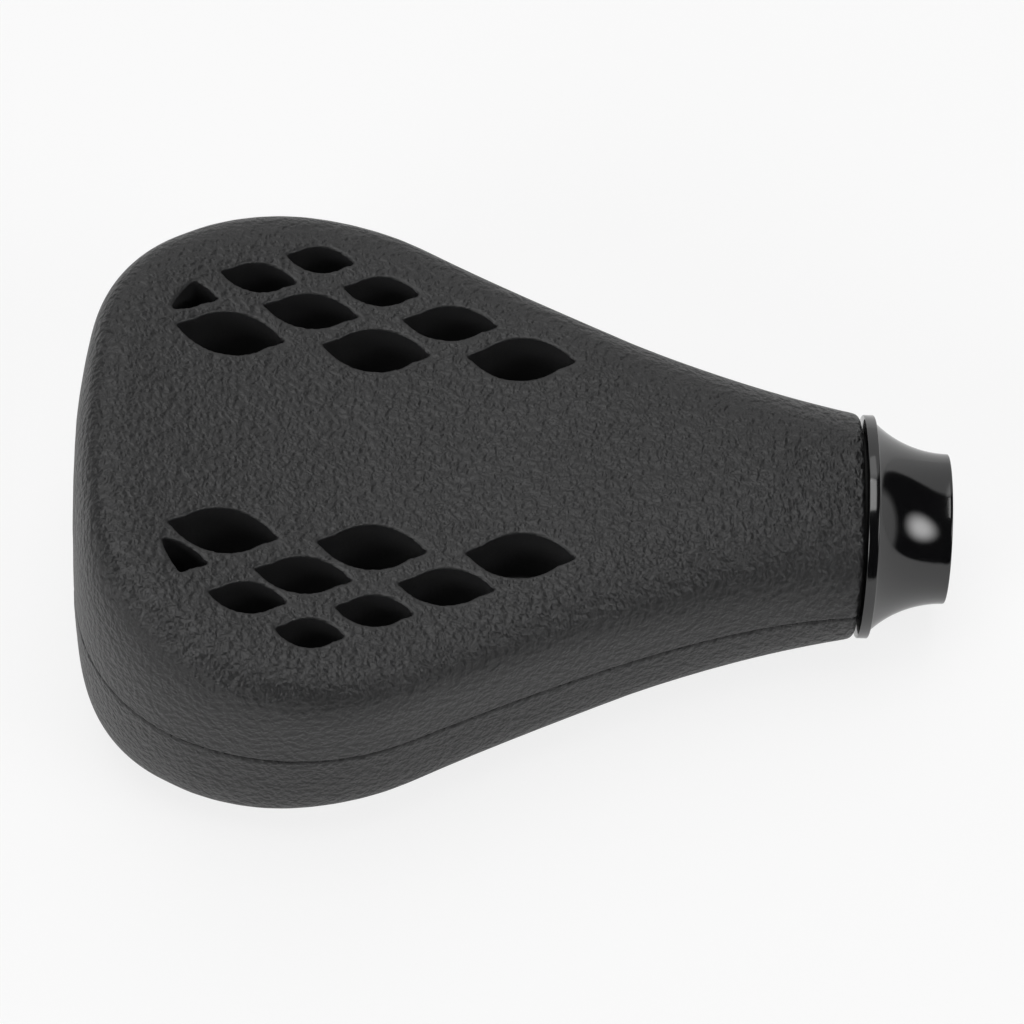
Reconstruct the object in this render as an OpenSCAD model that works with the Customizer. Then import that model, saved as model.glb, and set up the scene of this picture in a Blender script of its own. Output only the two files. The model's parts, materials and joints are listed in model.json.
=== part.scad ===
// Paddle knob for a fishing reel handle.
// X runs along the spindle towards the handle and Z points out of the upper face.
// The origin is the centre of the front bearing's bore.

/* [Paddle body] */
// Length of the body from the neck face to the wide end
body_len = 41.78; // [40.5:0.02:43]
// Greatest width of the body
body_w = 31.5; // [30.5:0.1:33]
// Width of the body at the neck face
neck_w = 11.8; // [11.2:0.1:12.4]
// Height of the upper face above the middle at the neck face
neck_h = 5.65; // [5.5:0.05:6.2]
// Radius that rounds the edge of the neck face
neck_round = 0.4; // [0.1:0.05:0.5]
// Slope of the side where it reaches the neck, in degrees
neck_slope = 5; // [0:1:12]
// Radius of the wide end in plan
end_r = 46; // [30:1:120]
// Radius of the corners of the wide end in plan
corner_r = 9.9; // [9:0.1:10.5]
// Heading at which the corner passes into the shoulder, in degrees
corner_turn = 68.4; // [64:0.1:72]
// Radius of the shoulder in plan
shoulder_r = 14.25; // [12:0.05:16]
// Slope of the side where it leaves the shoulder, in degrees
side_slope = 26.5; // [24:0.5:30]

/* [Faces] */
// Height of the upper face above the middle at the bottom of its dish
dish_h = 5.77; // [5.5:0.01:6.2]
// Distance of the bottom of the dish from the neck face
dish_x = 18.58; // [16:0.02:20]
// Radius of the dish along the body
dish_r = 73; // [65:1:100]
// Squareness of the section at the neck, of its face and of its wall, where 2 is an ellipse
neck_form = [2.2, 2.2]; // [2:0.1:3]
// Squareness of the section at the waist, of its face and of its wall
waist_form = [4.6, 4]; // [2.5:0.1:6]
// Squareness of the section at the shoulders, of its face and of its wall
shoulder_form = [12.7, 5.7]; // [5:0.1:14]
// Squareness of the section at the wide end, of its face and of its wall
end_form = [16, 2.5]; // [2.3:0.1:18]
// Chamfer of each half along the parting line
seam = 0.1; // [0.05:0.01:0.15]

/* [Leaf pockets] */
// Length of the leaves in the four rows, from the middle outwards
leaf_len = [5.85, 5.15, 4.2, 3.75]; // [3:0.05:6]
// Width of the leaves in the four rows
leaf_w = [2.7, 2.2, 1.85, 1.7]; // [1.4:0.05:2.8]
// Length of a leaf's belly as a share of the leaf
belly_len = 0.88; // [0.8:0.01:1]
// Width of a leaf's tips as a share of its belly
tip_w = 0.66; // [0.5:0.01:0.9]
// Turn of the belly against the tips, in degrees
belly_turn = 6; // [0:1:10]
// Distance of the four rows from the knob's axis
row_y = [6.21, 8.33, 10.09, 11.78]; // [6:0.01:12]
// Distance of the first leaf of each row from the neck face
row_x = [18.18, 22.01, 25.71, 29]; // [17:0.01:30]
// Pitch of the leaves along each row
row_pitch = [7.73, 7.41, 6.54, 6]; // [6:0.01:8]
// Leaves in each row
row_count = [3, 3, 2, 1]; // [1:1:3]
// Radius of the arc that cuts off the last leaf of the second row
leaf_clip_r = 5.6; // [5.3:0.1:6]
// Height of the pocket floors above the middle
pocket_floor = 1.6; // [1.4:0.1:3]

/* [Core] */
// Outer diameter of the core sleeve
sleeve_d = 8.8; // [8.6:0.1:9]
// Bore of the core sleeve between the bearings
sleeve_bore = 6; // [5:0.1:6.2]
// Span of the wings that key the sleeve between the halves
wing_span = 16; // [12:0.5:17]
// Length of the wings
wing_len = 13; // [8:0.5:14]
// Thickness of the wings
wing_t = 1.2; // [0.8:0.1:1.4]
// Diameter of the locating pegs
peg_d = 1.8; // [1.4:0.1:2]
// Height of the locating pegs
peg_h = 1.1; // [0.8:0.1:1.2]

/* [Collar] */
// Length of the collar outside the body
collar_len = 4.62; // [4.4:0.02:5.4]
// Diameter of the collar's disc
disc_d = 11.92; // [11.4:0.02:12.4]
// Thickness of the collar's disc
disc_t = 0.58; // [0.5:0.02:0.9]
// Diameter of the collar at its mouth
mouth_d = 8; // [7.9:0.1:8.4]
// Diameter of the flare where it leaves the disc
flare_d = 11.3; // [11:0.1:11.6]
// Gap between the collar's disc and the neck face
neck_gap = 0.14; // [0.1:0.02:0.3]
// Thickness of the gasket behind the disc, which is let into the neck face
gasket_t = 0.24; // [0.2:0.02:0.4]
// Length of the threaded spigot inside the sleeve
spigot_len = 3; // [2:0.1:4]
// Diameter of the threaded spigot
spigot_d = 7.5; // [7.2:0.1:7.6]

/* [End cap] */
// Diameter of the cap's head
cap_d = 10.2; // [9.6:0.1:10.6]
// Thickness of the cap's head
cap_t = 1.2; // [1:0.1:1.6]
// Length of the cap's spigot inside the sleeve
cap_spigot = 3.2; // [2.6:0.1:4]
// Width of the cap's coin slot
slot_w = 1; // [0.8:0.1:1.2]

/* [Bearings] */
// Bore of the bearings
bearing_bore = 4; // [3.9:0.05:4.05]
// Outer diameter of the bearings
bearing_od = 7; // [6.9:0.05:7]
// Width of the bearings
bearing_w = 2.5; // [2.4:0.1:2.6]
// Diameter of the balls
ball_d = 0.9; // [0.8:0.02:0.9]
// Balls in each bearing
ball_count = 8; // [6:1:9]
// Distance between the middles of the two bearings
bearing_pitch = 15.5; // [14:0.5:17]

/* [Hidden] */

// Fits
run_gap = 0.02;
seat_gap = 0.01;
eps = 0.01;
round_fn = 96;
pocket_reach = 10;

// Stations along X
mouth_x = bearing_w / 2 + 0.25;
disc_x = mouth_x - collar_len;
gasket_x = disc_x - gasket_t;
neck_x = disc_x - neck_gap;
end_x = neck_x - body_len;
spine_start = neck_x - 25.58;
spine_blend = 6;
flank_pull = [11, 6.1];

// Steps of the loft
end_steps = 4;
corner_steps = 12;
shoulder_steps = 9;
flank_steps = 16;
round_steps = 3;
wall_steps = [0.2, 0.38, 0.52, 0.64, 0.74, 0.82, 0.9];
face_steps = [0.97, 0.93, 0.88, 0.8, 0.65, 0.4];

// Plan outline of one side, from the middle of the wide end round to the neck.
// The heading is 0 along Y and 90 along X.
half_w = body_w / 2;
end_turn = asin((half_w - corner_r * sin(corner_turn) - shoulder_r * (1 - sin(corner_turn)))
                / (end_r - corner_r));

function arc_from(p, r, a0, a1, steps) =
    [for (i = [1:steps])
        let (a = a0 + (a1 - a0) * i / steps)
        [p.x + r * (cos(a0) - cos(a)), p.y + r * (sin(a) - sin(a0))]];

function bezier(p0, p1, p2, p3, t) =
    pow(1 - t, 3) * p0 + 3 * pow(1 - t, 2) * t * p1 + 3 * (1 - t) * t * t * p2 + pow(t, 3) * p3;

function last(list) = list[len(list) - 1];

end_arc = concat([[end_x, 0]], arc_from([end_x, 0], end_r, 0, end_turn, end_steps));
corner_arc = arc_from(last(end_arc), corner_r, end_turn, corner_turn, corner_steps);
shoulder_arc = arc_from(last(corner_arc), shoulder_r, corner_turn, 90 + side_slope, shoulder_steps);
corner_mid = last(end_arc) + corner_r * [cos(end_turn), -sin(end_turn)];

flank_a = last(shoulder_arc);
flank_d = [neck_x - neck_round, neck_w / 2];
flank_b = flank_a + flank_pull[0] * [cos(side_slope), -sin(side_slope)];
flank_c = flank_d - flank_pull[1] * [cos(neck_slope), -sin(neck_slope)];
flank = [for (i = [1:flank_steps]) bezier(flank_a, flank_b, flank_c, flank_d, i / flank_steps)];
neck_arc = [for (i = [1:round_steps])
    let (a = 90 * i / round_steps)
    flank_d + neck_round * [sin(a), cos(a) - 1]];

side = concat(end_arc, corner_arc, shoulder_arc, flank, neck_arc);
side_n = len(side) - 1;

// Height of the upper face along the middle
function dish(d) =
    d < dish_x ? dish_h + (neck_h - dish_h) * pow(1 - d / dish_x, 2)
    : dish_h + pow(d - dish_x, 2) / (2 * dish_r);

function neck_drop(d) =
    d >= neck_round ? 0 : neck_round - sqrt(max(0, pow(neck_round, 2) - pow(neck_round - d, 2)));

function face_h(x) = dish(neck_x - x) - neck_drop(neck_x - x);

// Squareness of the section's face or wall by distance from the neck
form_x = [0, 11.6, 24.1, 30.6, 36.3, body_len];
form = [neck_form, waist_form, shoulder_form, shoulder_form, end_form, end_form];

function form_at(d, part) = lookup(d, [for (i = [0:len(form_x) - 1]) [form_x[i], form[i][part]]]);

// Point of the spine that a station of the outline closes on
function spine_x(i) =
    let (x = side[max(i, end_steps)].x)
    x > spine_start ? x : spine_start - spine_blend * (1 - exp((x - spine_start) / spine_blend));

// Reach of the wall at a share of the height
function reach_at(share, face, wall) = pow(1 - pow(share, wall), 1 / face);

// Share of the height that the face has at a reach
function share_at(reach, face, wall) = pow(1 - pow(reach, face), 1 / wall);

// Reach and share of the height at each step of a section
function section_steps(face, wall) =
    let (edge = reach_at(last(wall_steps), face, wall))
    concat([for (e = wall_steps) [reach_at(e, face, wall), e]],
           [for (f = face_steps) [f * edge, share_at(f * edge, face, wall)]]);

// One section of the loft: the chamfer at the parting line, the wall and the face
function section(i, s) =
    let (foot = side[i],
         mid = [spine_x(i), 0],
         face = form_at(neck_x - foot.x, 0),
         wall = form_at(neck_x - foot.x, 1),
         low = mid + (foot - mid) * (1 - seam / norm(foot - mid)))
    concat([[low.x, s * low.y, 0], [foot.x, s * foot.y, seam]],
           [for (step = section_steps(face, wall))
               let (p = mid + (foot - mid) * step[0])
               [p.x, s * p.y, face_h(p.x) * step[1]]]);

// Half of the paddle above the parting plane, lofted round the outline
module half_body() {
    rings = len(wall_steps) + len(face_steps) + 2;
    loop = 2 * side_n + 1;
    skin = [for (j = [-side_n:side_n]) each section(abs(j), j < 0 ? -1 : 1)];
    spine = [for (i = [end_steps:side_n]) [spine_x(i), 0, face_h(spine_x(i))]];
    first = loop * rings;
    function at(j, k) = (j + side_n) * rings + k;
    function top(j) = first + max(0, abs(j) - end_steps);
    walls = [for (j = [-side_n:side_n - 1]) for (k = [0:rings - 2]) each
        [[at(j, k), at(j + 1, k + 1), at(j, k + 1)], [at(j, k), at(j + 1, k), at(j + 1, k + 1)]]];
    crown = [for (j = [-side_n:side_n - 1]) each
        concat([[at(j, rings - 1), at(j + 1, rings - 1), top(j)]],
               top(j) == top(j + 1) ? [] : [[top(j), at(j + 1, rings - 1), top(j + 1)]])];
    base = [for (j = [side_n:-1:-side_n]) at(j, 0)];
    neck = concat([for (k = [0:rings - 1]) at(-side_n, k)], [top(side_n)],
                  [for (k = [rings - 1:-1:0]) at(side_n, k)]);
    polyhedron(concat(skin, spine), concat(walls, crown, [base, neck]), convexity = 6);
}

module along_x(x, r, len) {
    translate([x, 0, 0]) rotate([0, 90, 0]) cylinder(r = r, h = len, $fn = round_fn);
}

module turned(x) {
    translate([x, 0, 0]) rotate([0, 90, 0]) rotate_extrude($fn = round_fn) children();
}

// Lens with two equal arcs for sides
module lens(len, w) {
    r = (len * len + w * w) / (4 * w);
    intersection() {
        translate([0, r - w / 2]) circle(r = r, $fn = round_fn);
        translate([0, w / 2 - r]) circle(r = r, $fn = round_fn);
    }
}

// Leaf with a full belly and slim tips
module leaf(len, w, turn) {
    rotate(turn) lens(belly_len * len, w);
    lens(len, tip_w * w);
}

module leaf_group(turn) {
    for (row = [0:3])
        for (i = [0:row_count[row] - 1])
            if (row == 1 && i == 2)
                intersection() {
                    translate([neck_x - row_x[row] - i * row_pitch[row], row_y[row]])
                        leaf(leaf_len[row], leaf_w[row], turn);
                    translate(corner_mid) circle(r = leaf_clip_r, $fn = round_fn);
                }
            else
                translate([neck_x - row_x[row] - i * row_pitch[row], row_y[row]])
                    leaf(leaf_len[row], leaf_w[row], turn);
}

module leaf_pockets() {
    for (s = [0, 1])
        mirror([0, s, 0])
            translate([0, 0, pocket_floor])
                linear_extrude(pocket_reach) leaf_group((1 - 2 * s) * belly_turn);
}

// Places of the locating pegs: distance from the neck and from the axis
peg_places = [[4.9, 5.55], [21.5, 11.1], [38.7, 6.9]];
peg_root = 0.5;

module pegs(d, h) {
    for (p = peg_places)
        for (s = [-1, 1])
            translate([neck_x - p.x, s * p.y, 0]) cylinder(d = d, h = h, $fn = 32);
}

// Space inside the halves for the sleeve, its wings and the end cap
wing_x = neck_x - 29.3;
cap_inset = 0.3;
cap_x = end_x + cap_inset;
sleeve_end = cap_x + cap_t;
loose = 0.1;
over = 5;
gasket_r = 5;

module core_space() {
    along_x(gasket_x, gasket_r + seat_gap, over);
    along_x(end_x - over, sleeve_d / 2 + seat_gap, body_len + 2 * over);
    along_x(end_x - over, cap_d / 2 + loose, sleeve_end - end_x + over);
    translate([wing_x - loose, -wing_span / 2 - loose, -wing_t / 2 - seat_gap])
        cube([wing_len + 2 * loose, wing_span + 2 * loose, wing_t + 2 * seat_gap]);
}

module top_shell() {
    color("#2e2e2f")
        difference() {
            half_body();
            core_space();
            leaf_pockets();
            translate([0, 0, -peg_root]) pegs(peg_d + loose, peg_root + peg_h + loose);
        }
}

module bottom_shell() {
    color("#343435") {
        difference() {
            mirror([0, 0, 1]) half_body();
            core_space();
            mirror([0, 0, 1]) leaf_pockets();
        }
        translate([0, 0, -peg_root]) pegs(peg_d, peg_root + peg_h);
    }
}

// Moulded sleeve that carries the rear bearing and screws onto the collar
rear_seat_x = -bearing_pitch + bearing_w / 2;
socket_spare = 0.3;
socket_len = spigot_len - gasket_t + socket_spare;

module core_sleeve() {
    color("#55585c")
        difference() {
            union() {
                along_x(sleeve_end, sleeve_d / 2, gasket_x - sleeve_end);
                translate([wing_x, -wing_span / 2, -wing_t / 2])
                    cube([wing_len, wing_span, wing_t]);
            }
            along_x(sleeve_end - 1, bearing_od / 2 + seat_gap, rear_seat_x - sleeve_end + 1);
            along_x(sleeve_end - 1, sleeve_bore / 2, neck_x - sleeve_end + 2);
            along_x(gasket_x - socket_len, spigot_d / 2 + seat_gap, socket_len + 1);
        }
}

// Turned collar with a concave flare, drawn as radius against height and laid along X
disc_edge = 0.1;

module collar() {
    flare_len = collar_len - disc_t;
    drop = (flare_d - mouth_d) / 2;
    flare_r = (flare_len * flare_len + drop * drop) / (2 * drop);
    disc_r = disc_d / 2;
    seat_h = -bearing_w / 2 - disc_x;
    color("#161617")
        turned(disc_x)
            difference() {
                union() {
                    polygon([[0, 0], [disc_r - disc_edge, 0], [disc_r, disc_edge],
                             [disc_r, disc_t - disc_edge], [disc_r - disc_edge, disc_t], [0, disc_t]]);
                    difference() {
                        translate([0, disc_t]) square([flare_d / 2, flare_len]);
                        translate([mouth_d / 2 + flare_r, collar_len]) circle(r = flare_r, $fn = 180);
                    }
                    translate([0, -spigot_len]) square([spigot_d / 2, spigot_len + eps]);
                }
                translate([-1, -spigot_len - 1])
                    square([sleeve_bore / 2 + 1, collar_len + spigot_len + 2]);
                translate([-1, seat_h])
                    square([bearing_od / 2 + seat_gap + 1, collar_len]);
            }
}

module neck_gasket() {
    inner_r = spigot_d / 2 + run_gap;
    color("#0c0c0c")
        turned(gasket_x) translate([inner_r, 0]) square([gasket_r - inner_r, gasket_t]);
}

// Plug that closes the screw hole in the wide end
seal_r = 0.39;
seal_x = 1.6;
cap_edge = 0.2;
groove_w = 0.9;
groove_depth = 0.82;
hollow_r = 1.9;
slot_depth = 0.6;
slot_len = 7.4;

module end_cap() {
    head_r = cap_d / 2;
    spigot_r = bearing_od / 2 - 0.03;
    color("#262627")
        difference() {
            turned(cap_x)
                difference() {
                    union() {
                        polygon([[0, 0], [head_r - cap_edge, 0], [head_r, cap_edge],
                                 [head_r, cap_t], [0, cap_t]]);
                        square([spigot_r, cap_t + cap_spigot]);
                    }
                    translate([spigot_r - groove_depth, cap_t + seal_x - groove_w / 2])
                        square([groove_depth + 1, groove_w]);
                    translate([-1, cap_t]) square([hollow_r + 1, cap_spigot + 1]);
                }
            translate([cap_x - 1, -slot_len / 2, -slot_w / 2]) cube([slot_depth + 1, slot_len, slot_w]);
        }
}

module cap_seal() {
    color("#101010")
        turned(cap_x)
            translate([bearing_od / 2 - seal_r, cap_t + seal_x]) circle(r = seal_r, $fn = 32);
}

// Bearing pieces, drawn about the bearing's own middle
pitch_r = (bearing_bore + bearing_od) / 4;
land_half = 0.33;
land_in = pitch_r - land_half;
land_out = pitch_r + land_half;
shield_seat = land_out + 0.12;
shield_gap = 0.05;
shield_t = 0.15;
shield_in = 0.2;
bore_cham = 0.1;
cage_t = 0.4;
cage_w = 1.1;

module outer_ring(x) {
    color("#b9bcc0")
        turned(x)
            difference() {
                translate([land_out, -bearing_w / 2]) square([bearing_od / 2 - land_out, bearing_w]);
                translate([pitch_r, 0]) circle(d = ball_d + 2 * run_gap, $fn = 48);
                for (s = [-1, 1])
                    translate([0, s * (bearing_w / 2 - shield_in / 2) - (shield_in / 2)])
                        square([shield_seat, shield_in]);
            }
}

module inner_ring(x) {
    r = bearing_bore / 2;
    h = bearing_w / 2;
    color("#c3c6ca")
        turned(x)
            difference() {
                polygon([[r + bore_cham, -h], [land_in, -h], [land_in, h], [r + bore_cham, h],
                         [r, h - bore_cham], [r, bore_cham - h]]);
                translate([pitch_r, 0]) circle(d = ball_d + 2 * run_gap, $fn = 48);
            }
}

module at_balls(x) {
    for (i = [0:ball_count - 1])
        translate([x, 0, 0]) rotate([i * 360 / ball_count, 0, 0]) translate([0, 0, pitch_r]) children();
}

module balls(x) {
    color("#d4d6d9") at_balls(x) sphere(d = ball_d, $fn = 32);
}

module cage(x) {
    color("#8e7a4a")
        difference() {
            turned(x) translate([pitch_r, 0]) square([cage_t, cage_w], center = true);
            at_balls(x) sphere(d = ball_d + 2 * run_gap, $fn = 32);
        }
}

module shield(x, s) {
    color("#a6a9ad")
        turned(x + s * (bearing_w / 2 - shield_in))
            translate([land_in + shield_gap, s < 0 ? -shield_t : 0])
                square([shield_seat - land_in - shield_gap, shield_t]);
}

top_shell();
bottom_shell();
core_sleeve();
collar();
neck_gasket();
end_cap();
cap_seal();
outer_ring(0);  // front_outer_ring
inner_ring(0);  // front_inner_ring
balls(0);  // front_balls
cage(0);  // front_cage
shield(0, 1);  // front_outboard_shield
shield(0, -1);  // front_inboard_shield
outer_ring(-bearing_pitch);  // rear_outer_ring
inner_ring(-bearing_pitch);  // rear_inner_ring
balls(-bearing_pitch);  // rear_balls
cage(-bearing_pitch);  // rear_cage
shield(-bearing_pitch, 1);  // rear_outboard_shield
shield(-bearing_pitch, -1);  // rear_inboard_shield
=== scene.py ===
"""Dressed model of a fishing reel handle knob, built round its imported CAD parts.

Everything is in the frame of the CAD: X runs along the spindle towards the handle,
Z points out of the upper face, and the origin is the centre of the front bearing.
"""

import functools
import json
import logging
import math
from dataclasses import dataclass
from enum import Enum

import bmesh
import bpy
import numpy as np
from mathutils import Matrix, Vector
from mathutils.bvhtree import BVHTree
from mathutils.kdtree import KDTree


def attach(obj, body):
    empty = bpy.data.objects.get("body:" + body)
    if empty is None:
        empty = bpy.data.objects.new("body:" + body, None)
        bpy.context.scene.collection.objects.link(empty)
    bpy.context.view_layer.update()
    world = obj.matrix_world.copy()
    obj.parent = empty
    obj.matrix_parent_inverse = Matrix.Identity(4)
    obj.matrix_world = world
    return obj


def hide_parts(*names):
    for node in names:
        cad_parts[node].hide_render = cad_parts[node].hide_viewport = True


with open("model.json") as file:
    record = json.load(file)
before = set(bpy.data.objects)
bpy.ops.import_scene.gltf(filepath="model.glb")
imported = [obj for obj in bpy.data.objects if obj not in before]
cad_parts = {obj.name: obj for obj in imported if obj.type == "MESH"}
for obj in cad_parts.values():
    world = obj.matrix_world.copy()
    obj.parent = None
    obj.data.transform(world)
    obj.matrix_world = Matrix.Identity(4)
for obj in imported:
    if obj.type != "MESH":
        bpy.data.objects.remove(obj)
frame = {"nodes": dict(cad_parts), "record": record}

LOG = logging.getLogger("reel_knob")
MM = 0.001
KNOB_BODY = "knob"
KNOB_MIDDLE = Vector((-21.7, 0.3, 0.0)) * MM
SKIN_MARK = "skin_mark"
COVER_MARK = "cover"
MERGE_GAP = 0.002 * MM
SHADE_ANGLE = math.radians(38.0)

Triple = tuple[float, float, float]
Pair = tuple[float, float]
NOISE_RANGE: Pair = (0.3, 0.7)
Value = float | bpy.types.NodeSocket


class Shading(Enum):
    """How the normals of a finished mesh are treated."""

    SMOOTH = "smooth"
    BY_ANGLE = "by_angle"


class RayKind(Enum):
    """Outputs of the Light Path node that the floor answers to."""

    CAMERA = "Is Camera Ray"
    GLOSSY = "Is Glossy Ray"
    TRANSMISSION = "Is Transmission Ray"


@dataclass(frozen=True)
class Band:
    """A smooth change of one value over a range of another."""

    low: float
    high: float
    to_low: float = 0.0
    to_high: float = 1.0


class NodeGraph:
    """Small helper that adds and joins shader nodes in one tree."""

    def __init__(self, tree: bpy.types.NodeTree) -> None:
        """Empties the tree.

        Args:
            tree: The node tree of a material or of the world.
        """
        self.tree = tree
        self.tree.nodes.clear()

    def add(self, kind: str, inputs: dict | None = None, **settings: object) -> bpy.types.Node:
        """Adds a node.

        Args:
            kind: The node's Blender identifier.
            inputs: Values or sockets by input name or index.
            **settings: Properties of the node itself.

        Returns:
            The new node.
        """
        node = self.tree.nodes.new(kind)
        for name, value in settings.items():
            setattr(node, name, value)
        for name, value in (inputs or {}).items():
            if isinstance(value, bpy.types.NodeSocket):
                self.join(value, node.inputs[name])
            else:
                node.inputs[name].default_value = value
        return node

    def join(self, source: bpy.types.NodeSocket, target: bpy.types.NodeSocket) -> None:
        """Links an output socket to an input socket."""
        self.tree.links.new(source, target)

    def place(self) -> bpy.types.NodeSocket:
        """Returns the object coordinates."""
        return self.add("ShaderNodeTexCoord").outputs["Object"]

    def mark(self, attribute: str) -> bpy.types.NodeSocket:
        """Returns a value that the mesh holds at its points."""
        return self.add("ShaderNodeAttribute", attribute_name=attribute).outputs["Fac"]

    def axes(self, place: bpy.types.NodeSocket) -> list[bpy.types.NodeSocket]:
        """Returns the three coordinates of a place."""
        return list(self.add("ShaderNodeSeparateXYZ", {0: place}).outputs)

    def math(self, operation: str, a: Value, b: Value = 0.0) -> bpy.types.NodeSocket:
        """Adds a Math node.

        Args:
            operation: Name of the operation, such as ADD.
            a: First value or socket.
            b: Second value or socket.

        Returns:
            The result socket.
        """
        return self.add("ShaderNodeMath", {0: a, 1: b}, operation=operation).outputs[0]

    def largest(self, *values: bpy.types.NodeSocket) -> bpy.types.NodeSocket:
        """Returns the largest of several values."""
        return functools.reduce(lambda a, b: self.math("MAXIMUM", a, b), values)

    def vector(
        self, operation: str, a: bpy.types.NodeSocket, b: bpy.types.NodeSocket | Triple,
    ) -> bpy.types.NodeSocket:
        """Adds a Vector Math node.

        Args:
            operation: Name of the operation, such as ADD or DISTANCE.
            a: First vector's socket.
            b: Second vector or its socket.

        Returns:
            The result socket, a vector's or a distance's.
        """
        node = self.add("ShaderNodeVectorMath", {0: a, 1: b}, operation=operation)
        return next(socket for socket in node.outputs if socket.enabled)

    def ramp(self, value: bpy.types.NodeSocket, band: Band) -> bpy.types.NodeSocket:
        """Maps a value smoothly from one range to another.

        Args:
            value: Socket to read.
            band: The range that is read and what it becomes.

        Returns:
            The result socket.
        """
        inputs = {
            "Value": value,
            "From Min": band.low,
            "From Max": band.high,
            "To Min": band.to_low,
            "To Max": band.to_high,
        }
        return self.add("ShaderNodeMapRange", inputs, interpolation_type="SMOOTHSTEP").outputs[0]

    def noise(
        self, place: bpy.types.NodeSocket, cell: float, octaves: float, output: str = "Fac",
    ) -> bpy.types.NodeSocket:
        """Adds a noise pattern.

        Args:
            place: Coordinates in metres.
            cell: Size of the pattern in metres.
            octaves: How many finer patterns it has.
            output: Fac for one value, or Color for three.

        Returns:
            The pattern's socket.
        """
        inputs = {"Vector": place, "Scale": 1.0 / cell, "Detail": octaves}
        return self.add("ShaderNodeTexNoise", inputs).outputs[output]


def new_material(name: str) -> tuple[bpy.types.Material, NodeGraph]:
    """Makes an empty material.

    Args:
        name: Name of the material.

    Returns:
        The material and the graph of its nodes.
    """
    made = bpy.data.materials.new(name)
    made.use_nodes = True
    return made, NodeGraph(made.node_tree)


@dataclass(frozen=True)
class Finish:
    """Base of all finishes: a name and how the surface answers to light."""

    name: str
    colour: Triple
    roughness: float
    specular: float = 0.5
    metallic: float = 0.0

    def material(self) -> bpy.types.Material:
        """Returns the Blender material, made on first use."""
        found = bpy.data.materials.get(self.name)
        if found:
            return found
        made, graph = new_material(self.name)
        shader = graph.add(
            "ShaderNodeBsdfPrincipled",
            {
                "Base Color": (*self.colour, 1.0),
                "Roughness": self.roughness,
                "Specular IOR Level": self.specular,
                "Metallic": self.metallic,
            },
        )
        graph.add("ShaderNodeOutputMaterial", {0: shader.outputs[0]})
        self.detail(graph, shader, graph.place())
        return made

    def detail(self, graph: NodeGraph, shader: bpy.types.Node, place: bpy.types.NodeSocket) -> None:
        """Adds the pattern of the finish. The base has none.

        Args:
            graph: The graph to add to.
            shader: The Principled node to drive.
            place: Object coordinates.
        """

    def tint(
        self, graph: NodeGraph, shader: bpy.types.Node, pattern: bpy.types.NodeSocket,
        brightness: Pair,
    ) -> None:
        """Makes the base colour lighter and darker by a pattern.

        Args:
            graph: The graph to add to.
            shader: The Principled node to drive.
            pattern: Pattern from 0 to 1.
            brightness: Share of the colour where the pattern is 0 and where it is 1.
        """
        dark, light = ((*(channel * share for channel in self.colour), 1.0) for share in brightness)
        inputs = {"Factor": pattern, "A": dark, "B": light}
        mix = graph.add("ShaderNodeMix", inputs, data_type="RGBA")
        graph.join(mix.outputs["Result"], shader.inputs["Base Color"])

    def gloss(
        self, graph: NodeGraph, shader: bpy.types.Node, pattern: bpy.types.NodeSocket, change: Pair,
    ) -> None:
        """Makes the roughness follow a pattern.

        Args:
            graph: The graph to add to.
            shader: The Principled node to drive.
            pattern: Noise to follow.
            change: Share of the roughness at the noise's low and high end.
        """
        rough = (self.roughness * share for share in change)
        graph.join(graph.ramp(pattern, Band(*NOISE_RANGE, *rough)), shader.inputs["Roughness"])

    def bump(
        self, graph: NodeGraph, shader: bpy.types.Node, height: bpy.types.NodeSocket, depth: float,
        strength: Value = 1.0,
    ) -> None:
        """Raises the surface by a pattern.

        Args:
            graph: The graph to add to.
            shader: The Principled node to drive.
            height: Pattern from 0 to 1.
            depth: Depth of the pattern in metres.
            strength: Share of the bump that shows.
        """
        inputs = {"Height": height, "Distance": depth, "Strength": strength}
        graph.join(graph.add("ShaderNodeBump", inputs).outputs[0], shader.inputs["Normal"])


@dataclass(frozen=True)
class GrainLayer:
    """One layer of soft bumps: their size, how tight they lie along each axis, their turn."""

    cell: float
    stretch: Triple
    turn: float = 0.0
    octaves: float = 1.5
    contrast: Band = Band(0.25, 0.75)

    def height(self, graph: NodeGraph, place: bpy.types.NodeSocket) -> bpy.types.NodeSocket:
        """Adds the layer.

        Args:
            graph: The graph to add to.
            place: Coordinates in metres.

        Returns:
            The height, from 0 to 1.
        """
        inputs = {"Vector": place, "Rotation": (0.0, 0.0, self.turn), "Scale": self.stretch}
        laid = graph.add("ShaderNodeMapping", inputs).outputs[0]
        return graph.ramp(graph.noise(laid, self.cell, self.octaves), self.contrast)


@dataclass(frozen=True)
class Scuff:
    """A small pale worn spot: its centre and how far it reaches, in millimetres."""

    x: float
    y: float
    z: float
    reach: float
    core: float = 0.2

    def shape(self, graph: NodeGraph, place: bpy.types.NodeSocket) -> bpy.types.NodeSocket:
        """Returns 1 in the spot's core, fading to 0 at its reach."""
        away = graph.vector("DISTANCE", place, (self.x * MM, self.y * MM, self.z * MM))
        return graph.ramp(away, Band(self.core * self.reach * MM, self.reach * MM, 1.0, 0.0))


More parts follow.
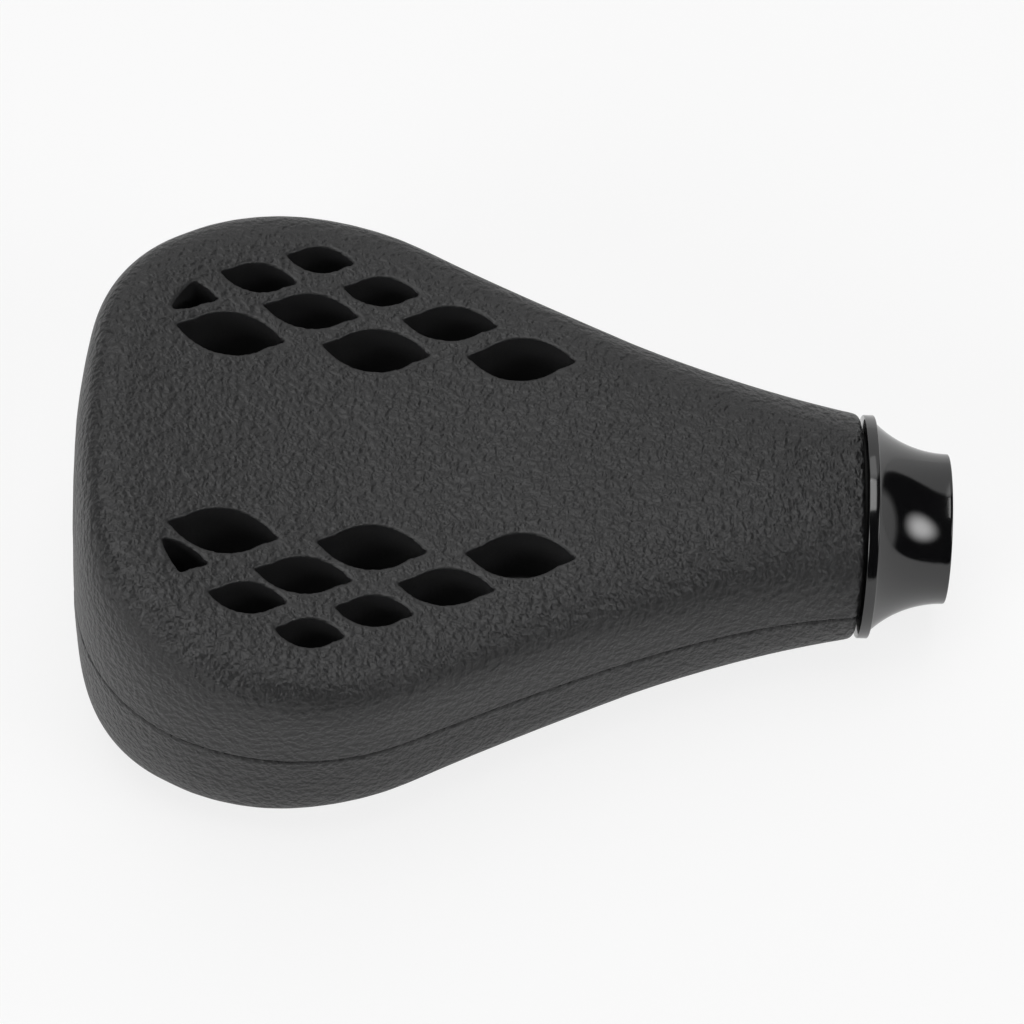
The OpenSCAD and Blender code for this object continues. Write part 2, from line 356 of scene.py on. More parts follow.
@dataclass(frozen=True)
class GrainedRubber(Finish):
    """Matte rubber with the fine pebbled grain of a leather-textured mould.

    The grain turns into longer wrinkles towards the neck and stops at the pockets.
    """

    depth: float = 0.09 * MM
    pebbles: GrainLayer = GrainLayer(0.34 * MM, (1.0, 0.92, 0.9))
    wrinkles: GrainLayer = GrainLayer(0.5 * MM, (1.5, 0.9, 0.8), 0.5)
    sway: float = 0.3 * MM
    sway_cell: float = 0.9 * MM
    fine_cell: float = 0.12 * MM
    fine_share: float = 0.2
    swell_cell: float = 1.1 * MM
    swell_share: float = 0.8
    neck: Band = Band(-15.0 * MM, -5.0 * MM, 0.0, 0.8)
    neck_gain: float = 1.2
    lower_half: Band = Band(-0.3 * MM, 0.3 * MM, 1.0, 0.7)
    face: Band = Band(3.5 * MM, 5.5 * MM, 0.0, 0.25)
    outer_skin: Band = Band(0.5, 1.0)
    # Painted light: inside the pockets the rubber is painted up to about twice as light, standing
    # in for light that reaches into them.
    pocket_painted_light: Band = Band(0.0, 0.5, 0.5, 0.0)
    blotch_cell: float = 4.0 * MM
    blotches: Band = Band(*NOISE_RANGE)
    blotch_share: float = 0.1
    worn_grain: Band = Band(0.35, 0.6)
    brightness: Pair = (0.9, 3.0)
    gloss_step: float = 0.04
    scuffs: tuple[Scuff, ...] = (
        Scuff(-40.53, -10.67, 7.92, 0.42),
        Scuff(-40.11, -10.96, 7.83, 0.32),
        Scuff(-40.86, -11.55, 7.47, 0.28),
        Scuff(-40.02, -12.16, 7.34, 0.36),
        Scuff(-38.17, -12.36, 7.37, 0.26),
        Scuff(-5.08, -4.8, 4.11, 0.22),
        Scuff(-4.78, -5.04, 3.72, 0.16),
        Scuff(-15.29, -6.41, 5.46, 0.13),
        Scuff(-14.24, -6.65, 5.22, 0.13),
    )

    def detail(self, graph: NodeGraph, shader: bpy.types.Node, place: bpy.types.NodeSocket) -> None:
        """Adds the grain, a slightly blotchy colour, painted light that makes the pocket walls and
        floors lighter, and pale scuffs.
        """
        skin = graph.mark(SKIN_MARK)
        fine = graph.noise(place, self.fine_cell, octaves=1.0)
        x, _, z = graph.axes(place)
        halves = graph.math("ADD", graph.ramp(z, self.lower_half), graph.ramp(z, self.face))
        shown = graph.math("MULTIPLY", graph.ramp(skin, self.outer_skin), halves)
        self.bump(graph, shader, self.height(graph, place, x, fine), self.depth, shown)
        blotch = graph.ramp(graph.noise(place, self.blotch_cell, octaves=3.0), self.blotches)
        pale = graph.math("MULTIPLY", blotch, self.blotch_share)
        spots = graph.largest(*(scuff.shape(graph, place) for scuff in self.scuffs))
        worn = graph.math("MULTIPLY", spots, graph.ramp(fine, self.worn_grain))
        # Random pale blotches, the painted light inside the pockets and the pale worn spots; the
        # largest of the three sets the tint.
        lightness = graph.largest(pale, graph.ramp(skin, self.pocket_painted_light), worn)
        self.tint(graph, shader, lightness, self.brightness)
        step = self.gloss_step / self.roughness
        self.gloss(graph, shader, fine, (1.0 - step, 1.0 + step))

    def height(
        self, graph: NodeGraph, place: bpy.types.NodeSocket, x: bpy.types.NodeSocket,
        fine: bpy.types.NodeSocket,
    ) -> bpy.types.NodeSocket:
        """Adds up the pebbles, the wrinkles near the neck, the fine grain and a slow swell.

        Args:
            graph: The graph to add to.
            place: Object coordinates.
            x: The coordinate along the spindle.
            fine: The finest grain.

        Returns:
            The height of the grain.
        """
        near_neck = graph.ramp(x, self.neck)
        sway = graph.noise(place, self.sway_cell, octaves=1.0, output="Color")
        bent = graph.vector("ADD", place, graph.vector("MULTIPLY", sway, (self.sway,) * 3))
        layers = [layer.height(graph, bent) for layer in (self.pebbles, self.wrinkles)]
        mix = graph.add("ShaderNodeMix", {"Factor": near_neck, "A": layers[0], "B": layers[1]})
        grain = mix.outputs["Result"]
        swell = graph.noise(place, self.swell_cell, octaves=2.0)
        for pattern, share in ((fine, self.fine_share), (swell, self.swell_share)):
            grain = graph.math("ADD", grain, graph.math("MULTIPLY", pattern, share))
        gain = graph.math("ADD", graph.math("MULTIPLY", near_neck, self.neck_gain), 1.0)
        return graph.math("MULTIPLY", grain, gain)


@dataclass(frozen=True)
class TurnedMetal(Finish):
    """Lathe-turned metal: fine rings round the X axis and faint handling marks."""

    ring: float = 0.03 * MM
    depth: float = 0.0006 * MM
    mark_cell: float = 1.5 * MM
    gloss_change: Pair = (0.85, 1.25)
    brightness: Pair = (0.92, 1.08)

    def detail(self, graph: NodeGraph, shader: bpy.types.Node, place: bpy.types.NodeSocket) -> None:
        """Adds the turning rings and a faint uneven gloss."""
        x, y, z = graph.axes(place)
        squares = [graph.math("MULTIPLY", axis, axis) for axis in (y, z)]
        radius = graph.math("SQRT", graph.math("ADD", *squares))
        rings = graph.add("ShaderNodeCombineXYZ", {0: x, 1: radius}).outputs[0]
        self.bump(graph, shader, graph.noise(rings, self.ring, octaves=2.0), self.depth)
        marks = graph.noise(place, self.mark_cell, octaves=3.0)
        self.gloss(graph, shader, marks, self.gloss_change)
        self.tint(graph, shader, marks, self.brightness)


@dataclass(frozen=True)
class MouldedPlastic(Finish):
    """Moulded plastic or plain rubber with a fine even texture."""

    cell: float = 0.12 * MM
    depth: float = 0.008 * MM
    flow_cell: float = 3.0 * MM
    gloss_change: Pair = (0.9, 1.1)
    brightness: Pair = (0.92, 1.08)

    def detail(self, graph: NodeGraph, shader: bpy.types.Node, place: bpy.types.NodeSocket) -> None:
        """Adds the even texture and a faint change of gloss."""
        self.bump(graph, shader, graph.noise(place, self.cell, octaves=3.0), self.depth)
        flow = graph.noise(place, self.flow_cell, octaves=2.0)
        self.gloss(graph, shader, flow, self.gloss_change)
        self.tint(graph, shader, flow, self.brightness)


SLOT_FINISHES: dict[str, Finish] = {
    "shell_rubber": GrainedRubber("grained_rubber", (0.010, 0.010, 0.0104), 0.45),
    "sleeve_nylon": MouldedPlastic("sleeve_nylon", (0.09, 0.1, 0.11), 0.45, 0.45),
    "collar_black": TurnedMetal("black_anodised", (0.004, 0.004, 0.0044), 0.09, 0.8),
    "gasket_rubber": MouldedPlastic("gasket_rubber", (0.008, 0.008, 0.008), 0.6, 0.3),
    "cap_plastic": MouldedPlastic("cap_plastic", (0.02, 0.02, 0.021), 0.42, 0.45),
    "ring_steel": TurnedMetal("bearing_steel", (0.62, 0.63, 0.65), 0.16, metallic=1.0),
    "ball_steel": TurnedMetal(
        "ball_steel", (0.72, 0.73, 0.75), 0.06, metallic=1.0, ring=0.2 * MM, depth=0.0002 * MM,
    ),
    "cage_steel": TurnedMetal("cage_steel", (0.45, 0.38, 0.22), 0.3, metallic=1.0, ring=0.06 * MM),
    "shield_steel": TurnedMetal(
        "shield_steel", (0.55, 0.56, 0.58), 0.22, metallic=1.0, ring=0.05 * MM, depth=0.002 * MM,
    ),
}


def add_object(name: str, data: bpy.types.ID) -> bpy.types.Object:
    """Adds an object to the scene.

    Args:
        name: Name of the object.
        data: Its mesh, lamp or camera.

    Returns:
        The new object, at the origin.
    """
    made = bpy.data.objects.new(name, data)
    bpy.context.scene.collection.objects.link(made)
    return made


def new_piece(
    bm: bmesh.types.BMesh, name: str, shading: Shading = Shading.BY_ANGLE,
) -> bpy.types.Object:
    """Turns a finished bmesh into an object at the origin.

    Args:
        bm: The mesh in metres. It is freed.
        name: Name of the object.
        shading: How its normals are treated.

    Returns:
        The new object, linked to the scene.
    """
    mesh = bpy.data.meshes.new(name)
    bm.to_mesh(mesh)
    bm.free()
    piece = add_object(name, mesh)
    mesh.shade_smooth()
    if shading is Shading.BY_ANGLE:
        mesh.set_sharp_from_angle(angle=SHADE_ANGLE)
    return piece


def merged_copy(node: str) -> bmesh.types.BMesh:
    """Copies a CAD node's mesh and joins its loose triangles.

    Args:
        node: Name of the CAD node.

    Returns:
        A bmesh in metres.
    """
    bm = bmesh.new()
    bm.from_mesh(frame["nodes"][node].data)
    bmesh.ops.remove_doubles(bm, verts=bm.verts, dist=MERGE_GAP)
    bmesh.ops.recalc_face_normals(bm, faces=bm.faces)
    return bm


def apply_modifiers(piece: bpy.types.Object) -> None:
    """Replaces a piece's mesh by what its modifiers make of it.

    Args:
        piece: The object to settle.
    """
    graph = bpy.context.evaluated_depsgraph_get()
    settled = bpy.data.meshes.new_from_object(piece.evaluated_get(graph))
    piece.modifiers.clear()
    old = piece.data
    piece.data = settled
    bpy.data.meshes.remove(old)


def write_mark(piece: bpy.types.Object, attribute: str, values: list[float]) -> None:
    """Writes a value at each point of a piece, for its material to read.

    Args:
        piece: The piece.
        attribute: Name of the new attribute.
        values: One value for each vertex.
    """
    marks = piece.data.attributes.new(attribute, "FLOAT", "POINT")
    marks.data.foreach_set("value", values)


def settle(piece: bpy.types.Object, slot: str, *nodes: str) -> None:
    """Dresses a new piece and ties it to the knob's body.

    Args:
        piece: The finished object.
        slot: The record's material slot.
        *nodes: The CAD nodes that it stands for.
    """
    piece.data.materials.clear()
    piece.data.materials.append(SLOT_FINISHES[slot].material())
    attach(piece, KNOB_BODY)
    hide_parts(*nodes)
    LOG.info("%s: %d faces", piece.name, len(piece.data.polygons))


@dataclass
class PaddleShell:
    """One moulded half of the rubber paddle, with its leaf pockets. Angles are in degrees.

    An edge sharper than sharp_angle is a real one, and past neck_from one sharper than
    neck_angle. The skin keeps its shape within edge_keep of a real edge and is smoothed in
    full beyond edge_free. The grain fades out over the lip round each pocket.
    """

    node: str
    name: str
    voxel: float = 0.085 * MM
    sharp_angle: float = 32.0
    neck_from: float = -4.0 * MM
    neck_angle: float = 12.0
    edge_step: float = 0.12 * MM
    edge_keep: float = 0.2 * MM
    edge_free: float = 0.8 * MM
    edge_rounds: int = 12
    skin_rounds: int = 160
    pull: float = 0.5
    pocket_floor: float = 1.6 * MM
    floor_slack: float = 0.05 * MM
    floor_tilt: float = 0.999
    wall_tilt: float = 0.2
    lip: float = 0.3 * MM
    triangles: int = 190000

    def is_sharp(self, edge: bmesh.types.BMEdge) -> bool:
        """Tells whether an edge of the CAD mesh is a real edge, not one between facets."""
        in_neck = min(v.co.x for v in edge.verts) > self.neck_from
        least = self.neck_angle if in_neck else self.sharp_angle
        return len(edge.link_faces) == 2 and edge.calc_face_angle() >= math.radians(least)

    def points_along(self, edges: list[bmesh.types.BMEdge]) -> KDTree:
        """Collects points along edges.

        Args:
            edges: The edges to follow.

        Returns:
            A tree of the points, for finding the distance to the nearest.
        """
        points: list[Vector] = []
        for edge in edges:
            a, b = (v.co for v in edge.verts)
            steps = max(1, math.ceil((b - a).length / self.edge_step))
            points += [a.lerp(b, i / steps) for i in range(steps + 1)]
        tree = KDTree(len(points))
        for i, point in enumerate(points):
            tree.insert(point, i)
        tree.balance()
        return tree

    def is_pocket_floor(self, face: bmesh.types.BMFace) -> bool:
        """Tells whether a face is in the floor of a pocket."""
        depth = abs(abs(face.calc_center_median().z) - self.pocket_floor)
        return abs(face.normal.z) > self.floor_tilt and depth < self.floor_slack

    def pocket_faces(self, bm: bmesh.types.BMesh) -> set[bmesh.types.BMFace]:
        """Finds the floors of the leaf pockets and the upright walls that stand on them.

        Args:
            bm: The merged mesh.

        Returns:
            The faces inside the pockets.
        """
        front = [face for face in bm.faces if self.is_pocket_floor(face)]
        found = set(front)
        while front:
            for edge in front.pop().edges:
                for face in edge.link_faces:
                    if face not in found and abs(face.normal.z) < self.wall_tilt:
                        found.add(face)
                        front.append(face)
        return found

    def mark_skin(
        self, piece: bpy.types.Object, tree: BVHTree, pockets: set[int], rims: KDTree,
    ) -> None:
        """Writes how far each vertex is out of the pockets, for the finish to read.

        Args:
            piece: The finished piece.
            tree: The faces of the CAD mesh.
            pockets: Indices of the faces inside the pockets.
            rims: Points along the rims of the pockets.
        """
        values = []
        for vertex in piece.data.vertices:
            away = min(1.0, rims.find(vertex.co)[2] / self.lip)
            side = -1.0 if tree.find_nearest(vertex.co)[2] in pockets else 1.0
            values.append(0.5 + 0.5 * side * away)
        write_mark(piece, SKIN_MARK, values)

    def remesh(self, piece: bpy.types.Object) -> None:
        """Gives the piece an even mesh that is fine enough to smooth."""
        skin = piece.modifiers.new("Skin", "REMESH")
        skin.mode = "VOXEL"
        skin.voxel_size = self.voxel
        skin.use_smooth_shade = True
        apply_modifiers(piece)

    def free_skin(self, piece: bpy.types.Object, edges: KDTree) -> str:
        """Weighs each vertex by how far it is from the real edges.

        Args:
            piece: The remeshed piece.
            edges: Points along the real edges.

        Returns:
            The name of the vertex group, 0 near an edge and 1 on the open skin.
        """
        group = piece.vertex_groups.new(name="open_skin")
        for vertex in piece.data.vertices:
            gap = edges.find(vertex.co)[2]
            t = min(1.0, max(0.0, (gap - self.edge_keep) / (self.edge_free - self.edge_keep)))
            if t > 0.0:
                group.add([vertex.index], t * t * (3.0 - 2.0 * t), "REPLACE")
        return group.name

    def smooth(self, piece: bpy.types.Object, rounds: int, only: str = "") -> np.ndarray:
        """Smooths a piece.

        Args:
            piece: The piece.
            rounds: How many times each vertex moves towards its neighbours.
            only: Vertex group that limits the smoothing.

        Returns:
            The coordinates that the piece has now.
        """
        smooth = piece.modifiers.new("Smooth", "SMOOTH")
        smooth.factor = self.pull
        smooth.iterations = rounds
        smooth.vertex_group = only
        mesh = piece.evaluated_get(bpy.context.evaluated_depsgraph_get()).to_mesh()
        points = np.empty(3 * len(mesh.vertices), np.float32)
        mesh.vertices.foreach_get("co", points)
        piece.modifiers.clear()
        piece.data.vertices.foreach_set("co", points)
        piece.data.update()
        return points

    def smooth_skin(self, piece: bpy.types.Object, only: str) -> None:
        """Hides the facets of the loft and keeps its crests.

        Smoothing rounds the crests too. What a second pass would take is given back.

        Args:
            piece: The remeshed piece.
            only: Vertex group that limits the smoothing.
        """
        self.smooth(piece, self.edge_rounds)
        once = self.smooth(piece, self.skin_rounds, only)
        twice = self.smooth(piece, self.skin_rounds, only)
        piece.data.vertices.foreach_set("co", 2.0 * once - twice)

    def thin_out(self, piece: bpy.types.Object) -> None:
        """Brings the piece down to its number of triangles."""
        thin = piece.modifiers.new("Thin", "DECIMATE")
        thin.ratio = min(1.0, self.triangles / (2 * len(piece.data.polygons)))
        apply_modifiers(piece)
        piece.vertex_groups.clear()
        piece.data.shade_smooth()

    def build(self) -> bpy.types.Object:
        """Makes the smooth skin from the CAD half.

        Returns:
            The finished piece.
        """
        bm = merged_copy(self.node)
        inside = self.pocket_faces(bm)
        bm.faces.ensure_lookup_table()
        bm.faces.index_update()
        pockets = {face.index for face in inside}
        tree = BVHTree.FromBMesh(bm)
        edges = self.points_along([e for e in bm.edges if self.is_sharp(e)])
        borders = [e for e in bm.edges if sum(f in inside for f in e.link_faces) == 1]
        rims = self.points_along(borders)
        piece = new_piece(bm, self.name, Shading.SMOOTH)
        self.remesh(piece)
        self.smooth_skin(piece, self.free_skin(piece, edges))
        self.thin_out(piece)
        self.mark_skin(piece, tree, pockets, rims)
        settle(piece, "shell_rubber", self.node)
        return piece


@dataclass
class TurnedPiece:
    """Base of the pieces turned round the X axis. Sizes are in millimetres, angles in degrees."""

    name: str
    node: str
    slot: str
    edge: float
    steps: int = 128
    bevel_segments: int = 3
    sharp_angle: float = 25.0
    pole_gap: float = 0.0005

    def profile(self) -> list[Pair]:
        """Returns the corners of the profile as (x, radius)."""
        raise NotImplementedError

    def close(
        self, bm: bmesh.types.BMesh, first: bmesh.types.BMVert, last: bmesh.types.BMVert,
    ) -> None:
        """Closes the profile with a straight edge."""
        bm.edges.new((last, first))

    def build(self) -> bpy.types.Object:
        """Draws the profile in the XZ plane, spins it and breaks its sharp edges.

        Returns:
            The finished piece.
        """
        bm = bmesh.new()
        verts = [bm.verts.new((x * MM, 0.0, radius * MM)) for x, radius in self.profile()]
        for a, b in zip(verts, verts[1:]):
            bm.edges.new((a, b))
        self.close(bm, verts[0], verts[-1])
        bmesh.ops.spin(
            bm, geom=bm.verts[:] + bm.edges[:], cent=(0, 0, 0), axis=(1, 0, 0),
            angle=math.tau, steps=self.steps, use_merge=True,
        )
        bmesh.ops.remove_doubles(bm, verts=bm.verts, dist=self.pole_gap * MM)
        bmesh.ops.recalc_face_normals(bm, faces=bm.faces)
        sharp = [e for e in bm.edges if e.calc_face_angle(0.0) > math.radians(self.sharp_angle)]
        bmesh.ops.bevel(
            bm, geom=sharp, offset=self.edge * MM, offset_type="OFFSET",
            segments=self.bevel_segments, profile=0.5, affect="EDGES", material=-1,
            clamp_overlap=True,
        )
        piece = new_piece(bm, self.name)
        settle(piece, self.slot, self.node)
        return piece


@dataclass
class Collar(TurnedPiece):
    """The turned collar: mouth, bearing seat, spigot, disc and concave flare."""

    name: str = "collar_turned"
    node: str = "collar"
    slot: str = "collar_black"
    edge: float = 0.06
    mouth_x: float = 1.5
    mouth_radius: float = 4.0
    seat_x: float = -1.25
    seat_radius: float = 3.51
    bore_radius: float = 3.0
    spigot_x: float = -6.12
    spigot_radius: float = 3.75
    disc_back_x: float = -3.12
    disc_front_x: float = -2.54
    disc_radius: float = 5.96
    flare_foot_radius: float = 5.65
    flare_steps: int = 28

    def profile(self) -> list[Pair]:
        """Returns the profile from the mouth through the bore and round to the flare's foot."""
        return [
            (self.mouth_x, self.mouth_radius),
            (self.mouth_x, self.seat_radius),
            (self.seat_x, self.seat_radius),
            (self.seat_x, self.bore_radius),
            (self.spigot_x, self.bore_radius),
            (self.spigot_x, self.spigot_radius),
            (self.disc_back_x, self.spigot_radius),
            (self.disc_back_x, self.disc_radius),
            (self.disc_front_x, self.disc_radius),
            (self.disc_front_x, self.flare_foot_radius),
        ]

    def close(
        self, bm: bmesh.types.BMesh, first: bmesh.types.BMVert, last: bmesh.types.BMVert,
    ) -> None:
        """Closes the profile with the flare's arc, which leaves the mouth along the axis.

        Args:
            bm: The mesh that holds the profile.
            first: The corner at the mouth.
            last: The corner at the flare's foot.
        """
        run, rise = first.co.x - last.co.x, last.co.z - first.co.z
        radius = (run * run + rise * rise) / (2.0 * rise)
        centre = Vector((first.co.x, 0.0, first.co.z + radius))
        bmesh.ops.spin(
            bm, geom=[first], cent=centre, axis=(0, 1, 0),
            angle=math.asin(run / radius), steps=self.flare_steps,
        )
        bmesh.ops.remove_doubles(bm, verts=bm.verts, dist=MERGE_GAP)


@dataclass
class NeckGasket(TurnedPiece):
    """The thin gasket between the collar's disc and the rubber neck."""

    name: str = "neck_gasket_ring"
    node: str = "neck_gasket"
    slot: str = "gasket_rubber"
    edge: float = 0.03
    back_x: float = -3.36
    front_x: float = -3.12
    bore_radius: float = 3.77
    radius: float = 5.0

    def profile(self) -> list[Pair]:
        """Returns the gasket's rectangle."""
        return [
            (self.back_x, self.bore_radius),
            (self.front_x, self.bore_radius),
            (self.front_x, self.radius),
            (self.back_x, self.radius),
        ]


@dataclass
class EndCap:
    """The push-in end cap: a copy of its solid with the edges broken. Angles are in degrees."""

    node: str = "end_cap"
    name: str = "screw_cap"
    slot: str = "cap_plastic"
    edge: float = 0.05 * MM
    segments: int = 3
    flat_angle: float = 0.5
    edge_angle: float = 35.0
    shade_angle: float = 40.0

    def build(self) -> bpy.types.Object:
        """Joins the flat faces' triangles and bevels the edges.

        Returns:
            The finished piece.
        """
        bm = merged_copy(self.node)
        bmesh.ops.dissolve_limit(
            bm, angle_limit=math.radians(self.flat_angle), verts=bm.verts, edges=bm.edges,
            use_dissolve_boundaries=False,
        )
        piece = new_piece(bm, self.name)
        bevel = piece.modifiers.new("Edge", "BEVEL")
        bevel.width = self.edge
        bevel.segments = self.segments
        bevel.limit_method = "ANGLE"
        bevel.angle_limit = math.radians(self.edge_angle)
        bevel.use_clamp_overlap = True
        apply_modifiers(piece)
        piece.data.set_sharp_from_angle(angle=math.radians(self.shade_angle))
        settle(piece, self.slot, self.node)
        return piece


@dataclass(frozen=True)
class PhotoCamera:
    """The camera at the photograph's angle, fitted to the knob's outline.

    Its place is in millimetres, and right and up are the directions of the picture's sides.
    """

    name: str = "photo_camera"
    place: Triple = (-33.083, -186.900, 283.399)
    right: Triple = (0.99898317, 0.00653146, 0.04460913)
    up: Triple = (-0.03001638, 0.83463298, 0.549988)
    lens: float = 224.277
    sensor: float = 36.0
    nearest: float = 0.01
    farthest: float = 10.0

    def build(self) -> None:
        """Places the camera and looks through it."""
        data = bpy.data.cameras.new(self.name)
        data.lens = self.lens
        data.sensor_width = self.sensor
        data.clip_start, data.clip_end = self.nearest, self.farthest
        camera = add_object(self.name, data)
        right, up = Vector(self.right), Vector(self.up)
        turn = Matrix((right, up, right.cross(up))).transposed()
        camera.matrix_world = Matrix.Translation(Vector(self.place) * MM) @ turn.to_4x4()
        bpy.context.scene.camera = camera


@dataclass(frozen=True)
class Floor:
    """The pale floor that the knob lies on, on its wide end and its collar's disc."""

    name: str = "studio_floor"
    reach: float = 4.0
    pale: float = 0.82
    seen_share: float = 0.8
    mirrored_share: float = 0.42
    disc_from: float = -3.4 * MM
    wide_end_to: float = -30.0 * MM
    gap: float = 0.02 * MM

    def glow_share(self, graph: NodeGraph) -> bpy.types.NodeSocket:
        """Works out how much of the floor glows white for the rays that show it.

        Args:
            graph: The graph to add to.

        Returns:
            The share, which is 0 for the rays that light the knob.
        """
        path = graph.add("ShaderNodeLightPath")
        shares = {
            RayKind.CAMERA: self.seen_share,
            RayKind.GLOSSY: self.mirrored_share,
            RayKind.TRANSMISSION: self.seen_share,
        }
        seen = ((path.outputs[kind.value], share) for kind, share in shares.items())
        return graph.largest(*(graph.math("MULTIPLY", ray, share) for ray, share in seen))

    def resting_plane(self) -> Matrix:
        """Finds the plane that touches the collar's disc and the wide end from below.

        Returns:
            The place and turn of the plane, just clear of the knob.
        """
        touching = [frame["nodes"][name] for name in ("bottom_shell", "collar")]
        points = [vertex.co for node in touching for vertex in node.data.vertices]
        hinge = min((p for p in points if p.x > self.disc_from), key=lambda p: p.z)
        slope = max((hinge.z - p.z) / (hinge.x - p.x) for p in points if p.x < self.wide_end_to)
        turn = Matrix.Rotation(-math.atan(slope), 4, "Y")
        return Matrix.Translation(hinge - Vector((0, 0, self.gap))) @ turn

    def build(self) -> None:
        """Lays the floor."""
        bm = bmesh.new()
        bmesh.ops.create_grid(bm, x_segments=1, y_segments=1, size=self.reach)
        bmesh.ops.transform(bm, matrix=self.resting_plane(), verts=bm.verts)
        floor = new_piece(bm, self.name)
        made, graph = new_material(self.name)
        matt = graph.add("ShaderNodeBsdfDiffuse", {"Color": (*(self.pale,) * 3, 1.0)})
        glow = graph.add("ShaderNodeEmission", {"Color": (1, 1, 1, 1), "Strength": 1.0})
        share = self.glow_share(graph)
        mix = graph.add("ShaderNodeMixShader", {0: share, 1: matt.outputs[0], 2: glow.outputs[0]})
        graph.add("ShaderNodeOutputMaterial", {0: mix.outputs[0]})
        floor.data.materials.append(made)


@dataclass(frozen=True)
class DarkCloth:
    """The dark cloth in front of the table and over it, which black gloss reflects.

    It hangs on part of a sphere round the knob. Its front edge is level, its back edge
    rises towards both sides, and its border is thin. Angles are in degrees.
    """

    name: str = "studio_cloth"
    radius: float = 0.9
    segments: int = 180
    rings: int = 90
    rise: float = 110.0
    slant: float = 15.0
    curl: float = 123.0
    straight: float = 0.17
    side: float = 70.0
    fringe: float = 7.0
    shade: float = 0.01

    @staticmethod
    def height(way: Vector) -> float:
        """Returns the angle of a direction above the front of the table."""
        return math.degrees(math.atan2(way.z, -way.y))

    def cover(self, way: Vector) -> float:
        """Tells how dense the cloth is in a direction.

        Args:
            way: Unit vector from the knob.

        Returns:
            From 0, none, to 1, its full density.
        """
        past = max(0.0, abs(way.x) - self.straight)
        back = self.rise + self.slant * past + self.curl * past * past
        inside = min(back - self.height(way), self.side - abs(math.degrees(math.asin(way.x))))
        return min(1.0, max(0.0, 0.5 + inside / self.fringe))

    def is_outside(self, vert: bmesh.types.BMVert) -> bool:
        """Tells whether a point of the sphere has no cloth."""
        way = vert.co.normalized()
        return self.height(way) < 0.0 or self.cover(way) <= 0.0

    def build(self) -> None:
        """Cuts the cloth from a sphere and hangs it."""
        bm = bmesh.new()
        bmesh.ops.create_uvsphere(
            bm, u_segments=self.segments, v_segments=self.rings, radius=self.radius,
        )
        turn = Matrix.Rotation(math.pi / 2, 3, "Y")
        bmesh.ops.rotate(bm, verts=bm.verts, cent=(0, 0, 0), matrix=turn)
        outside = [vert for vert in bm.verts if self.is_outside(vert)]
        bmesh.ops.delete(bm, geom=outside, context="VERTS")
        cloth = new_piece(bm, self.name, Shading.SMOOTH)
        write_mark(cloth, COVER_MARK, [self.cover(v.co.normalized()) for v in cloth.data.vertices])
        made, graph = new_material(self.name)
        black = graph.add("ShaderNodeBsdfDiffuse", {"Color": (*(self.shade,) * 3, 1.0)})
        clear = graph.add("ShaderNodeBsdfTransparent")
        cover = graph.mark(COVER_MARK)
        mix = graph.add("ShaderNodeMixShader", {0: cover, 1: clear.outputs[0], 2: black.outputs[0]})
        graph.add("ShaderNodeOutputMaterial", {0: mix.outputs[0]})
        cloth.data.materials.append(made)
        cloth.visible_camera = False


@dataclass(frozen=True)
class Lamp:
    """Base of the lamps that face the knob.

    The direction points from the knob to the lamp, sizes are in metres, and a radiance
    of 1 is white.
    """

    name: str
    towards: Triple
    distance: float
    size: Pair
    radiance: float

    def stand(self) -> Matrix:
        """Returns the lamp's place and its turn towards the knob."""
        way = Vector(self.towards).normalized()
        turn = way.to_track_quat("Z", "Y").to_matrix().to_4x4()
        return Matrix.Translation(KNOB_MIDDLE + way * self.distance) @ turn

    def build(self) -> None:
        """Builds the lamp."""
        raise NotImplementedError


@dataclass(frozen=True)
class SoftBox(Lamp):
    """An evenly bright flat lamp, with its width and height."""

    def build(self) -> None:
        """Adds the lamp."""
        data = bpy.data.lights.new(self.name, "AREA")
        data.shape = "RECTANGLE"
        data.size, data.size_y = self.size
        data.energy = self.radiance * math.pi * self.size[0] * self.size[1]
        lamp = add_object(self.name, data)
        lamp.matrix_world = self.stand()
        lamp.visible_camera = False


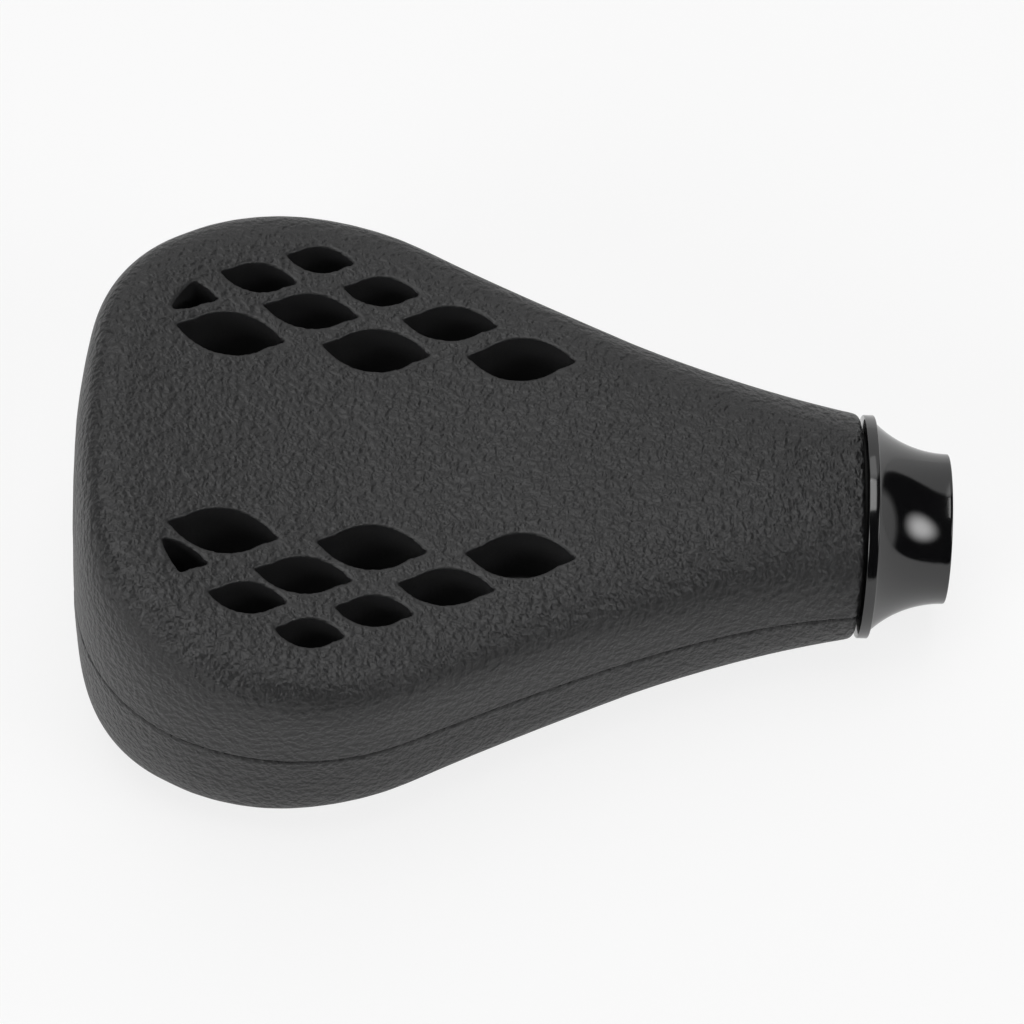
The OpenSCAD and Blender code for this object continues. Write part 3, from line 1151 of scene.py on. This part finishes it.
@dataclass(frozen=True)
class GlowPanel(Lamp):
    """A lamp behind an oval diffuser, bright in the middle, with its half width and half height."""

    segments: int = 48
    bright_to: float = 0.1
    dark_from: float = 0.95

    def build(self) -> None:
        """Adds the panel with its fading glow."""
        bm = bmesh.new()
        bmesh.ops.create_circle(bm, cap_ends=True, segments=self.segments, radius=1.0)
        panel = new_piece(bm, self.name, Shading.SMOOTH)
        panel.matrix_world = self.stand() @ Matrix.Diagonal((*self.size, 1.0, 1.0))
        made, graph = new_material(self.name)
        away = graph.vector("DISTANCE", graph.place(), (0.0, 0.0, 0.0))
        fade = graph.ramp(away, Band(self.bright_to, self.dark_from, self.radiance, 0.0))
        light = graph.add("ShaderNodeEmission", {"Strength": fade})
        graph.add("ShaderNodeOutputMaterial", {0: light.outputs[0]})
        panel.data.materials.append(made)
        panel.visible_camera = False


@dataclass
class Studio:
    """Camera, floor, cloth, pale walls and lamps round the knob."""

    walls: float = 0.74
    lamps: tuple[Lamp, ...] = (
        SoftBox("overhead_box", (-0.15, 0.0, 0.98), 0.6, (0.36, 0.46), 3.05),
        SoftBox("back_box", (-0.105, 0.467, 0.878), 0.6, (0.4, 0.3), 0.9),
        GlowPanel("right_glow", (0.664, -0.411, 0.624), 0.5, (0.24, 0.18), 5.6),
        GlowPanel("left_glow", (-0.669, -0.609, 0.426), 0.5, (0.24, 0.18), 7.0),
    )

    def paint_walls(self) -> None:
        """Sets the even pale walls of the studio."""
        world = bpy.data.worlds.new("studio_world")
        world.use_nodes = True
        bpy.context.scene.world = world
        graph = NodeGraph(world.node_tree)
        walls = graph.add("ShaderNodeBackground", {"Color": (1, 1, 1, 1), "Strength": self.walls})
        graph.add("ShaderNodeOutputWorld", {0: walls.outputs[0]})

    def build(self) -> None:
        """Builds the whole studio."""
        PhotoCamera().build()
        Floor().build()
        DarkCloth().build()
        self.paint_walls()
        for lamp in self.lamps:
            lamp.build()
            LOG.info("%s: radiance %.2f", lamp.name, lamp.radiance)
        bpy.context.scene.view_settings.view_transform = "Standard"


def dress_frame_nodes() -> None:
    """Gives every CAD node the finish of its material slot."""
    slots = {part["node"]: part["material_slot"] for part in frame["record"]["subparts"]}
    for name, node in frame["nodes"].items():
        node.data.materials.clear()
        node.data.materials.append(SLOT_FINISHES[slots[name]].material())


def main() -> None:
    """Builds the knob and its studio."""
    logging.basicConfig(level=logging.INFO, format="%(message)s")
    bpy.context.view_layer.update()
    dress_frame_nodes()
    PaddleShell("top_shell", "paddle_upper").build()
    PaddleShell("bottom_shell", "paddle_lower").build()
    Collar().build()
    NeckGasket().build()
    EndCap().build()
    Studio().build()


if __name__ == "__main__":
    main()
